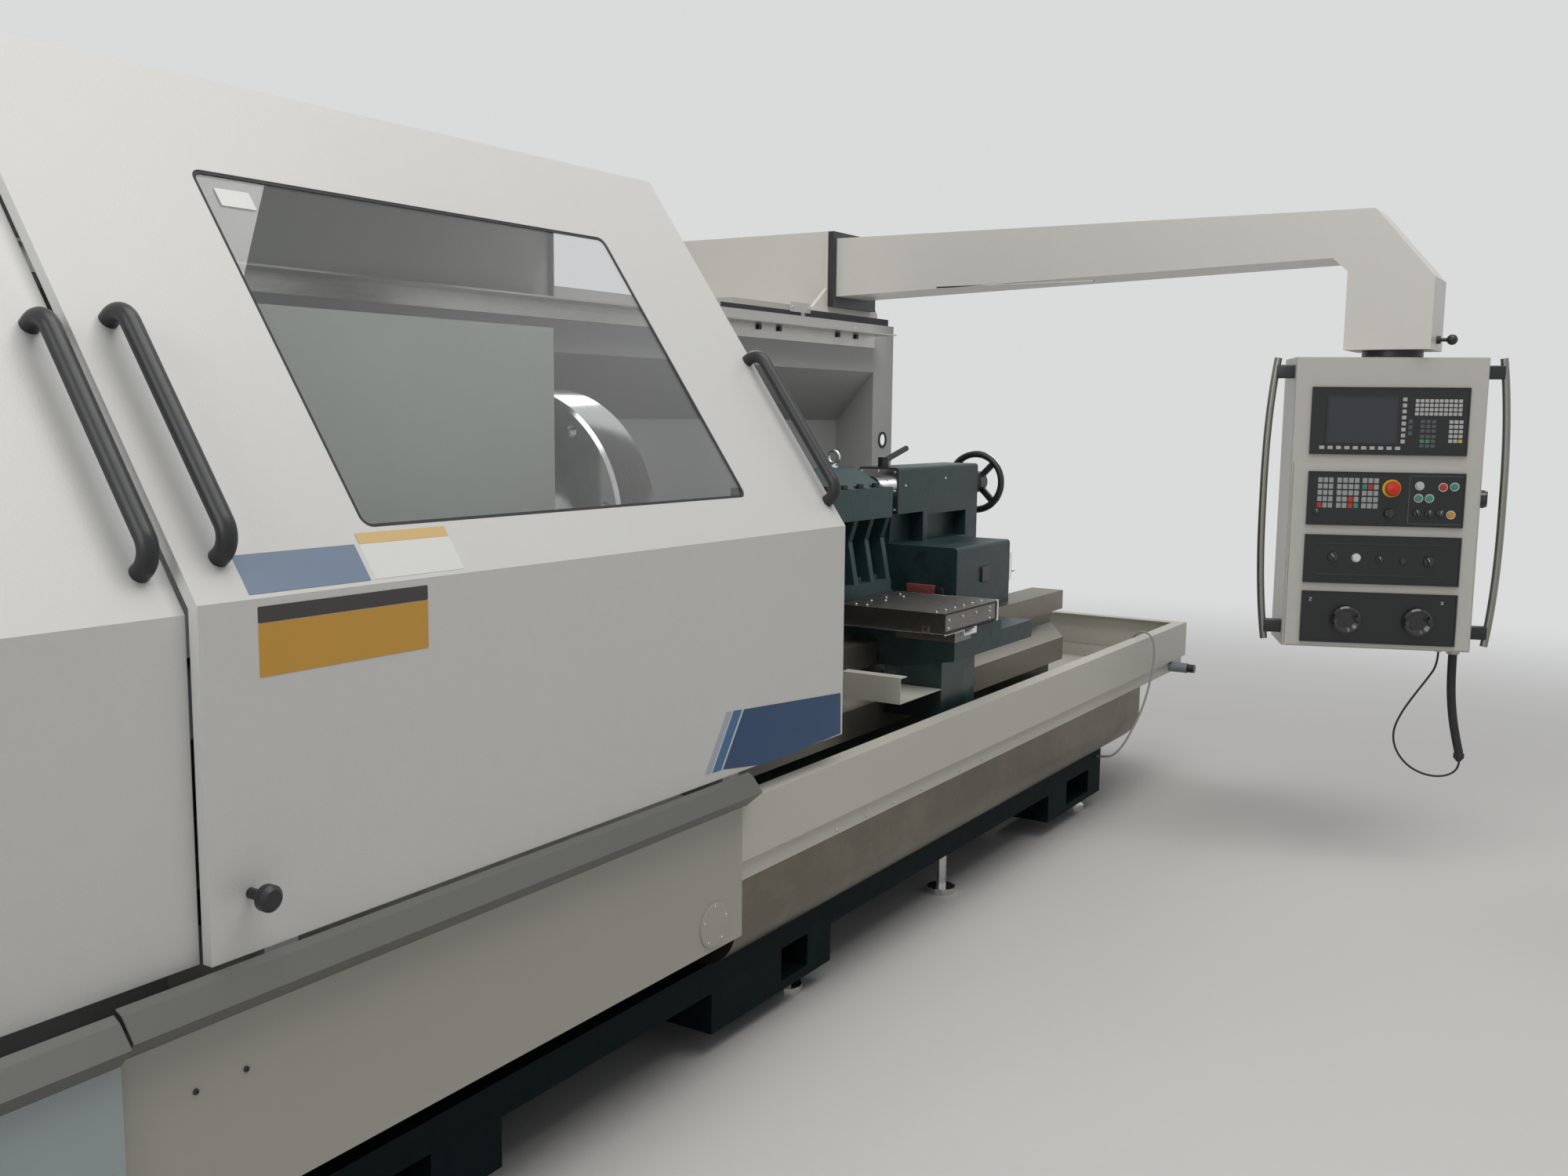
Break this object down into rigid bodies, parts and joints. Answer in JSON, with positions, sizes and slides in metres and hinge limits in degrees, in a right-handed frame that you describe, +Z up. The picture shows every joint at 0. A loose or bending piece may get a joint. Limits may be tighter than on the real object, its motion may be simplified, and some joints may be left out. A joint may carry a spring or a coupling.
{
  "type": "cnc turning lathe",
  "caption": "Long CNC turning lathe with sliding guard doors, boring bar holder, tailstock, chip tray and a control pendant on an arm.",
  "frame": {"origin": "on the floor, under the middle of the machine's outline", "axes": "+X along the bed from the headstock to the tailstock, +Y away from the operator, +Z up"},
  "size_m": [5.87, 3.224, 2.216],
  "materials": {
    "door_paint": "fine textured light grey-white",
    "guard_paint": "light grey paint",
    "cover_paint": "mid grey paint",
    "left_panel_paint": "bluish white paint",
    "casting_paint": "dark teal enamel on iron",
    "holder_paint": "teal enamel on iron",
    "base_paint": "near-black green enamel on iron",
    "ground_steel": "ground",
    "stainless": "brushed stainless",
    "chrome": "polished",
    "black_grip": "matt black",
    "black_metal": "black paint",
    "window_glass": "grey laminated glass",
    "rubber": "black",
    "pendant_paint": "light grey paint",
    "panel_plastic": "black",
    "stop_red": "red",
    "cable_grey": "grey sheath",
    "motor_paint": "dark grey paint"
  },
  "bodies": {
    "frame": {"machine_base": "base_paint", "levelling_feet": "ground_steel", "bed": "casting_paint", "chip_chute": "guard_paint", "drip_pan": "stainless", "chip_tray": "guard_paint", "drain_pipe": "cable_grey", "front_panel": "door_paint", "left_lower_panel": "left_panel_paint", "door_rail_cover": "cover_paint", "door_rails": "ground_steel", "rear_guard": "guard_paint", "headstock": "casting_paint", "headstock_cover": "cover_paint", "spindle_bearings": "ground_steel", "drive_belt": "rubber", "spindle_motor": "motor_paint", "left_end_cover": "guard_paint", "z_servo_motor": "black_metal", "arm_root": "pendant_paint", "arm_flange": "black_metal", "arm_beam": "pendant_paint", "swivel_disc": "black_metal", "electrical_cabinet": "pendant_paint", "tray_cable": "cable_grey"},
    "spindle": {"spindle": "ground_steel", "spindle_pulley": "ground_steel", "chuck_body": "ground_steel"},
    "jaw_1": {"chuck_jaw_1": "ground_steel"},
    "jaw_2": {"chuck_jaw_2": "ground_steel"},
    "jaw_3": {"chuck_jaw_3": "ground_steel"},
    "motor_rotor": {"motor_pulley": "ground_steel"},
    "z_screw": {"z_ball_screw": "ground_steel"},
    "x_screw": {"x_ball_screw": "ground_steel"},
    "saddle": {"saddle": "casting_paint", "apron": "cover_paint", "slide_cover": "stainless"},
    "cross_slide": {"cross_slide": "casting_paint", "boring_bar_holder": "holder_paint", "holder_cap": "holder_paint"},
    "tailstock": {"tailstock": "casting_paint"},
    "quill": {"quill": "chrome"},
    "handwheel": {"tailstock_handwheel": "black_metal"},
    "lever": {"clamp_lever": "black_metal"},
    "left_door": {"left_door": "door_paint", "left_door_handle": "black_grip"},
    "right_door": {"right_door": "door_paint", "door_window": "window_glass", "right_door_handles": "black_grip"},
    "plunger": {"door_plunger": "black_grip"},
    "pendant": {"pendant_box": "pendant_paint", "control_panels": "panel_plastic", "pendant_grips": "black_metal", "pendant_conduit": "rubber", "pendant_cable": "rubber"},
    "swivel_knob": {"swivel_knob": "black_grip"},
    "stop": {"emergency_stop": "stop_red"},
    "override": {"override_knob": "black_grip"},
    "wheel_z": {"pendant_handwheel_z": "black_grip"},
    "wheel_x": {"pendant_handwheel_x": "black_grip"}
  },
  "joints": [
    {"name": "spindle_turn", "type": "hinge", "parent": "frame", "child": "spindle", "pos_m": [-0.405, 0.27203, 1.233], "axis": [1, 0, 0], "continuous": true},
    {"name": "motor_turn", "type": "hinge", "parent": "frame", "child": "motor_rotor", "pos_m": [-1.845, 0.27203, 0.52], "axis": [1, 0, 0], "continuous": true},
    {"name": "jaw_1_slide", "type": "slide", "parent": "spindle", "child": "jaw_1", "axis": [0, 0, 1], "range_m": [-0.02, 0.025]},
    {"name": "jaw_2_slide", "type": "slide", "parent": "spindle", "child": "jaw_2", "axis": [0, -0.866, -0.5], "range_m": [-0.02, 0.025]},
    {"name": "jaw_3_slide", "type": "slide", "parent": "spindle", "child": "jaw_3", "axis": [0, 0.866, -0.5], "range_m": [-0.02, 0.025]},
    {"name": "saddle_travel", "type": "slide", "parent": "frame", "child": "saddle", "axis": [1, 0, 0], "range_m": [-0.85, 0.135]},
    {"name": "z_screw_turn", "type": "hinge", "parent": "frame", "child": "z_screw", "pos_m": [-0.035, 0.68403, 0.735], "axis": [1, 0, 0], "range_deg": [-30605, 4866]},
    {"name": "cross_travel", "type": "slide", "parent": "saddle", "child": "cross_slide", "axis": [0, 1, 0], "range_m": [-0.075, 0.27]},
    {"name": "x_screw_turn", "type": "hinge", "parent": "saddle", "child": "x_screw", "pos_m": [1.13, 0.27203, 0.848], "axis": [0, 1, 0], "range_deg": [-5405, 19446]},
    {"name": "tailstock_travel", "type": "slide", "parent": "frame", "child": "tailstock", "axis": [1, 0, 0], "range_m": [-0.135, 0.2]},
    {"name": "quill_travel", "type": "slide", "parent": "tailstock", "child": "quill", "axis": [1, 0, 0], "range_m": [-0.135, 0.03]},
    {"name": "handwheel_turn", "type": "hinge", "parent": "tailstock", "child": "handwheel", "pos_m": [2.205, 0.27203, 1.233], "axis": [1, 0, 0], "range_deg": [-8105, 1805]},
    {"name": "lever_turn", "type": "hinge", "parent": "tailstock", "child": "lever", "pos_m": [1.435, 0.27203, 1.312], "axis": [0, 0, 1], "range_deg": [-55, 55]},
    {"name": "left_door_slide", "type": "slide", "parent": "frame", "child": "left_door", "axis": [1, 0, 0], "range_m": [0, 1.2]},
    {"name": "right_door_slide", "type": "slide", "parent": "left_door", "child": "right_door", "axis": [1, 0, 0], "range_m": [0, 0.6]},
    {"name": "plunger_pull", "type": "slide", "parent": "right_door", "child": "plunger", "axis": [0, -1, 0], "range_m": [0, 0.01], "stiffness_N_per_m": 800},
    {"name": "pendant_swivel", "type": "hinge", "parent": "frame", "child": "pendant", "pos_m": [2.17, -1.24347, 1.696], "axis": [0, 0, 1], "range_deg": [-70, 90]},
    {"name": "swivel_knob_turn", "type": "hinge", "parent": "frame", "child": "swivel_knob", "pos_m": [2.17, -1.37597, 1.756], "axis": [0, -1, 0], "range_deg": [-180, 180]},
    {"name": "stop_press", "type": "slide", "parent": "pendant", "child": "stop", "axis": [0.9336, 0.3584, 0], "range_m": [0, 0.005], "stiffness_N_per_m": 400},
    {"name": "override_turn", "type": "hinge", "parent": "pendant", "child": "override", "pos_m": [2.0197, -1.28724, 1.192], "axis": [0.9336, 0.3584, 0], "range_deg": [-135, 135]},
    {"name": "wheel_z_turn", "type": "hinge", "parent": "pendant", "child": "wheel_z", "pos_m": [1.97885, -1.18081, 0.838], "axis": [0.9336, 0.3584, 0], "continuous": true},
    {"name": "wheel_x_turn", "type": "hinge", "parent": "pendant", "child": "wheel_x", "pos_m": [2.05841, -1.38806, 0.838], "axis": [0.9336, 0.3584, 0], "continuous": true}
  ],
  "couplings": [
    {"joint": "motor_turn", "follows": "spindle_turn", "ratio": 2},
    {"joint": "jaw_2_slide", "follows": "jaw_1_slide", "ratio": 1},
    {"joint": "jaw_3_slide", "follows": "jaw_1_slide", "ratio": 1},
    {"joint": "z_screw_turn", "follows": "saddle_travel", "rad_per_m": 628.32},
    {"joint": "x_screw_turn", "follows": "cross_travel", "rad_per_m": 1256.6},
    {"joint": "handwheel_turn", "follows": "quill_travel", "rad_per_m": 1047.2}
  ]
}
